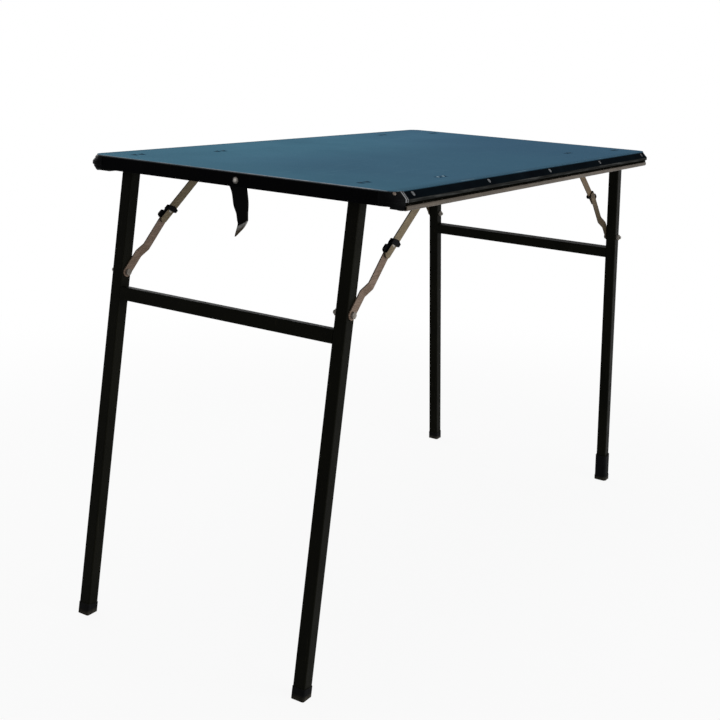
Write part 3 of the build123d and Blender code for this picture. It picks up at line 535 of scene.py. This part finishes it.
def plated(name, colours, stained, smooth, metallic, level=0.4, fade=0.0):
    """Zinc-plated steel: faint spangle, bright edges, a little tarnish and at will darker towards the right
    end.
    """
    light = colours[-1]
    tree = Tree(name)
    colour = tree.tones(tree.noise(240, 5, 0.6), colours, THREE_TONES)
    colour = tree.mix(tree.range(tree.cells(330), 0.1, 0.6, 0.0, 0.35), colour, light)
    colour = tree.mix(tree.patches((85, 5, 0.65), 0.52, 0.7, most=0.6), colour, stained)
    rounded = tree.rounded(0.0006)
    colour = tree.mix(tree.times(tree.edges(rounded), 0.5), colour, light)
    if fade:
        fade_start, fade_full = 0.1, 0.5
        darkening = tree.range(tree.xyz()[0], fade_start, fade_full, 0.0, fade)
        colour = tree.mix(darkening, colour, rgb(20, 22, 24))
    normal = tree.grain((950, 3, 0.6), 0.20, GRAIN_DEPTH, rounded)
    return tree.surface(colour, tree.wander((300, 4, 0.6), smooth, smooth + 0.15), normal,
                        Metallic=metallic, Specular_IOR_Level=level)


def latch_rivet_steel():
    """Plated head of the catch's rivet, with a painted highlight on its crown and painted shade towards its
    rim.
    """
    bright = (rgb(168, 163, 157), rgb(206, 201, 194))
    darkening = rgb(52, 48, 44)
    crown_radius, rim_radius, crown_rise = 0.0012, 0.0046, 0.0008
    tree = Tree("latch_rivet_steel")
    y, z = tree.xyz()[1:]
    low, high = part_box("latch_rivet")
    middle = [(a + b) / 2 for a, b in zip(low, high)]
    across = tree.math("SUBTRACT", y, middle[1])
    up = tree.math("SUBTRACT", z, middle[2] + crown_rise)
    reach = tree.hypot(across, up)
    colour = tree.tones(tree.noise(240, 5, 0.6), bright, TWO_TONES)
    # Painted shade from the crown to the rim, leaving a painted highlight on the crown a little above the
    # middle
    colour = tree.mix(tree.range(reach, crown_radius, rim_radius, 0.0, 0.92), colour, darkening)
    normal = tree.grain((950, 3, 0.6), 0.20, GRAIN_DEPTH, tree.rounded(0.0006))
    return tree.surface(colour, tree.wander((300, 4, 0.6), 0.34, 0.48), normal,
                        Metallic=0.3, Specular_IOR_Level=0.3)


def tip_steel(tree, height):
    """Bare steel of the catch's tip, browner towards its end and dark along its edges."""
    bright_tones = (rgb(140, 139, 135), rgb(186, 185, 181))
    brown_tones = (rgb(70, 61, 50), rgb(112, 102, 88))
    brown_start, brown_full = 0.6600, 0.6520
    streak = tree.streaks((500, 60, 500), 4, 0.6)
    bright = tree.tones(streak, bright_tones, TWO_TONES)
    brown = tree.tones(streak, brown_tones, TWO_TONES)
    steel = tree.mix(tree.range(height, brown_start, brown_full), bright, brown)
    return tree.mix(tree.edges(tree.rounded(0.0016, 8), 0.01, 0.08), steel, rgb(30, 22, 16))


def latch_paint():
    """Black catch whose bent tip is worn to bare steel below a slanting, ragged line."""
    black = (rgb(2, 2, 2), rgb(6, 6, 7))
    slant, ragged = 0.7, 0.0012
    paint_end, steel_start = 0.6628, 0.6612
    tree = Tree("latch_paint")
    y, z = tree.xyz()[1:]
    colour = tree.tones(tree.noise(30, 5, 0.6), black, TWO_TONES)
    rounded = tree.rounded(0.0009)
    chips = tree.times(tree.edges(rounded, 0.02, 0.14), tree.patches((160, 5, 0.7), 0.5, 0.62, 0.1, 0.7))
    colour = tree.mix(chips, colour, rgb(118, 112, 104))
    height = tree.math("ADD", z, tree.times(y, slant))
    height = tree.math("ADD", height, tree.wander((170, 5, 0.7), -ragged, ragged))
    tip = tree.range(height, paint_end, steel_start)
    colour = tree.mix(tip, colour, tip_steel(tree, height))
    normal = tree.grain((900, 2, 0.5), 0.16, GRAIN_DEPTH, rounded)
    normal = tree.bump(tip, 0.3, -0.0002, normal)
    return tree.surface(colour, tree.wander((90, 4, 0.6), 0.36, 0.52), normal, Specular_IOR_Level=0.02)


# Dressing the pieces

def dress_top():
    end_rail_paint = black_paint("end_rail_paint", dark=rgb(1, 1, 2), light=rgb(3, 3, 4),
                                 dust_and_sheen=rgb(24, 24, 24), chipped=rgb(80, 78, 74),
                                 level=0.01, chipping=0.35, rim=True)
    cap_plastic = moulded_plastic("corner_cap_plastic", texture_scale=1500, rims=True)
    flange_steel = plated("flange_rivet_steel", colours=(rgb(52, 54, 56), rgb(70, 72, 74), rgb(98, 100, 102)),
                          stained=rgb(48, 45, 41), smooth=0.40, metallic=0.2, level=0.12, fade=0.6)
    corner_steel = plated("corner_rivet_steel", colours=(rgb(62, 53, 47), rgb(86, 76, 68), rgb(116, 106, 97)),
                          stained=rgb(58, 46, 38), smooth=0.40, metallic=0.25, level=0.15)
    dress(top_paint(), "top_panel")
    dress(rail_paint(), *[f"side_rail_{depth}" for depth in DEPTHS])
    dress(end_rail_paint, *[f"end_rail_{side}" for side in SIDES])
    dress(cap_plastic, *[f"corner_cap_{corner}" for corner in CORNERS])
    dress(flange_steel, "flange_rivets")
    dress(corner_steel, "corner_rivets")
    dress(painted_rivets(), "bracket_rivets")
    dress(latch_paint(), "latch")
    dress(latch_rivet_steel(), "latch_rivet")


def dress_leg_frames():
    tube_paint = black_paint("tube_paint", dark=rgb(8, 8, 5), light=rgb(14, 14, 9),
                             dust_and_sheen=rgb(39, 37, 28), chipped=rgb(104, 98, 88), level=0.02, chipping=0.6)
    bright_zinc = plated("bright_zinc", colours=(rgb(132, 132, 128), rgb(166, 166, 162), rgb(200, 200, 196)),
                         stained=rgb(104, 95, 83), smooth=0.30, metallic=0.35)
    bolt_steel = plated("bolt_steel", colours=(rgb(64, 58, 51), rgb(92, 85, 77), rgb(134, 128, 120)),
                        stained=rgb(62, 54, 45), smooth=0.36, metallic=0.30, level=0.2)
    dress(tube_paint, *[f"leg_{corner}" for corner in CORNERS], *[f"crossbar_{side}" for side in SIDES])
    dress(foot_rubber(), "foot_left_far", "foot_left_near", "foot_right_far", "levelling_foot")
    dress(bright_zinc, "levelling_stud")
    dress(bolt_steel, *[f"stay_bolts_{side}" for side in SIDES])


def dress_links(side, turn, shade, upper_colours, lower_colours):
    upper = link_steel(f"upper_link_steel_{side}", turn, upper_colours)
    lower = link_steel(f"lower_link_steel_{side}", turn, lower_colours, shade)
    dress(upper, *[f"upper_link_{side}_{depth}" for depth in DEPTHS])
    dress(lower, *[f"lower_link_{side}_{depth}" for depth in DEPTHS])


def dress_stays():
    # Lighter and darker copies of one steel for each side and each link paint the light each link gets; the
    # right links sit in painted shade, darkest at the lower end of the lower ones
    dress_links("left", STAY_SLOPE, shade=0.0,
                upper_colours=(rgb(78, 69, 52), rgb(98, 87, 67), rgb(120, 107, 86)),
                lower_colours=(rgb(82, 68, 57), rgb(101, 85, 73), rgb(124, 107, 94)))
    dress_links("right", -STAY_SLOPE, shade=0.6,
                upper_colours=(rgb(74, 62, 48), rgb(93, 79, 61), rgb(114, 98, 78)),
                lower_colours=(rgb(66, 57, 44), rgb(82, 71, 55), rgb(104, 91, 72)))
    dull_zinc = plated("dull_zinc", colours=(rgb(88, 84, 78), rgb(112, 107, 99), rgb(146, 140, 131)),
                       stained=rgb(76, 64, 52), smooth=0.42, metallic=0.35)
    stained_zinc = plated("stained_zinc", colours=(rgb(40, 36, 30), rgb(54, 48, 41), rgb(78, 71, 62)),
                          stained=rgb(36, 30, 24), smooth=0.42, metallic=0.3, level=0.15)
    slider_plastic = moulded_plastic("slider_plastic", texture_scale=2200)
    for side, zinc in (("left", dull_zinc), ("right", stained_zinc)):
        dress(zinc, *[f"knuckle_{half}_{side}_{depth}" for half in ("front", "back") for depth in DEPTHS])
    dress(slider_plastic, *[f"lock_slider_{corner}" for corner in CORNERS])
    dress(dull_zinc, "leg_pins", "anchor_pins", "levelling_nut",
          *[f"stay_nuts_{side}" for side in SIDES],
          *[f"{kind}_bracket_{corner}" for kind in ("leg", "stay") for corner in CORNERS])


# Stage, light and camera

WHITE = (1, 1, 1, 1)
FLOOR_GREY = rgb(188, 188, 188)
FLOOR_HALF_SIZE = 14
FLOOR_NEAR_GLOW = 0.92
FLOOR_NEAR_RADIUS = 0.8
FLOOR_FAR_RADIUS = 2.0
WORLD_STRENGTH = 0.26

# Camera solved from edge points of the photo. Its image middle is 110 pixels below the solved axis
PHOTO_PIXELS = 720
FOCAL_PIXELS = 1174.255
SHIFT_PIXELS = -110
SENSOR_MM = 36
CAMERA_PLACE = (-1.889238, -1.067013, 0.948064)
CAMERA_YAW = math.radians(58.514)
CAMERA_PITCH = math.radians(-10.0856)
CAMERA_ROLL = math.radians(2.8745)


def background_rays(tree):
    """1 for rays of the camera, of reflections and of transmission, in any node tree."""
    path = tree.nodes.new("ShaderNodeLightPath")
    seen = path.outputs["Is Camera Ray"]
    for name in ("Is Glossy Ray", "Is Transmission Ray"):
        either = tree.nodes.new("ShaderNodeMath")
        either.operation = "MAXIMUM"
        tree.links.new(seen, either.inputs[0])
        tree.links.new(path.outputs[name], either.inputs[1])
        seen = either.outputs[0]
    return seen


def floor_material():
    """Pale floor: the camera and reflections see it near white, and it keeps the object's shadow."""
    tree = Tree("floor_pale")
    tree.shader.inputs["Base Color"].default_value = FLOOR_GREY
    tree.shader.inputs["Roughness"].default_value = 0.9
    glow = tree.add("ShaderNodeEmission")
    glow.inputs["Color"].default_value = WHITE
    glow.inputs["Strength"].default_value = 1.0
    x, y = tree.xyz()[:2]
    whitening = tree.range(tree.hypot(x, y), FLOOR_NEAR_RADIUS, FLOOR_FAR_RADIUS, FLOOR_NEAR_GLOW, 1.0)
    mix = tree.add("ShaderNodeMixShader")
    tree.links.new(tree.times(background_rays(tree.material.node_tree), whitening), mix.inputs[0])
    tree.links.new(tree.shader.outputs[0], mix.inputs[1])
    tree.links.new(glow.outputs[0], mix.inputs[2])
    tree.links.new(mix.outputs[0], tree.out.inputs[0])
    return tree.material


def make_floor():
    mesh = bpy.data.meshes.new("floor")
    bm = bmesh.new()
    bmesh.ops.create_grid(bm, x_segments=1, y_segments=1, size=FLOOR_HALF_SIZE)
    bm.to_mesh(mesh)
    bm.free()
    floor = bpy.data.objects.new("floor", mesh)
    bpy.context.scene.collection.objects.link(floor)
    floor.data.materials.append(floor_material())


def make_world():
    """Even light, with a white backdrop for the camera and for reflections."""
    world = bpy.data.worlds.new("studio")
    bpy.context.scene.world = world
    world.use_nodes = True
    tree = world.node_tree
    tree.nodes.clear()
    out = tree.nodes.new("ShaderNodeOutputWorld")
    mix = tree.nodes.new("ShaderNodeMixShader")
    tree.links.new(background_rays(tree), mix.inputs[0])
    for socket, strength in ((1, WORLD_STRENGTH), (2, 1.0)):
        light = tree.nodes.new("ShaderNodeBackground")
        light.inputs["Color"].default_value = WHITE
        light.inputs["Strength"].default_value = strength
        tree.links.new(light.outputs[0], mix.inputs[socket])
    tree.links.new(mix.outputs[0], out.inputs[0])


def area_light(name, place, aim, size, power):
    data = bpy.data.lights.new(name, "AREA")
    data.shape = "RECTANGLE"
    data.size, data.size_y = size
    data.energy = power
    obj = bpy.data.objects.new(name, data)
    bpy.context.scene.collection.objects.link(obj)
    obj.location = place
    obj.rotation_euler = (Vector(aim) - Vector(place)).to_track_quat("-Z", "Y").to_euler()


def camera_matrix():
    level = math.cos(CAMERA_PITCH)
    forward = Vector((math.sin(CAMERA_YAW) * level, math.cos(CAMERA_YAW) * level, math.sin(CAMERA_PITCH)))
    right = Vector((math.cos(CAMERA_YAW), -math.sin(CAMERA_YAW), 0))
    up = right.cross(forward)
    side = right * math.cos(CAMERA_ROLL) + up * math.sin(CAMERA_ROLL)
    head = up * math.cos(CAMERA_ROLL) - right * math.sin(CAMERA_ROLL)
    matrix = Matrix((side, head, -forward)).transposed().to_4x4()
    matrix.translation = Vector(CAMERA_PLACE)
    return matrix


def make_camera():
    data = bpy.data.cameras.new("camera")
    data.sensor_fit = "HORIZONTAL"
    data.sensor_width = SENSOR_MM
    data.lens = FOCAL_PIXELS / PHOTO_PIXELS * SENSOR_MM
    data.shift_x = 0
    data.shift_y = SHIFT_PIXELS / PHOTO_PIXELS
    data.clip_start = 0.05
    data.clip_end = 100
    camera = bpy.data.objects.new("camera", data)
    bpy.context.scene.collection.objects.link(camera)
    camera.matrix_world = camera_matrix()
    bpy.context.scene.camera = camera


dress_top()
dress_leg_frames()
dress_stays()
make_floor()
make_world()
area_light("key", place=(-0.2, -3.2, 1.0), aim=(0, 0, 0.5), size=(2.6, 1.6), power=92)
area_light("top", place=(0.1, 0.4, 2.6), aim=(0, 0, 0.7), size=(1.8, 1.8), power=31)
area_light("fill", place=(0.8, 3.0, 1.3), aim=(0, 0, 0.4), size=(2.4, 1.4), power=30)
make_camera()
bpy.context.scene.view_settings.view_transform = "Standard"
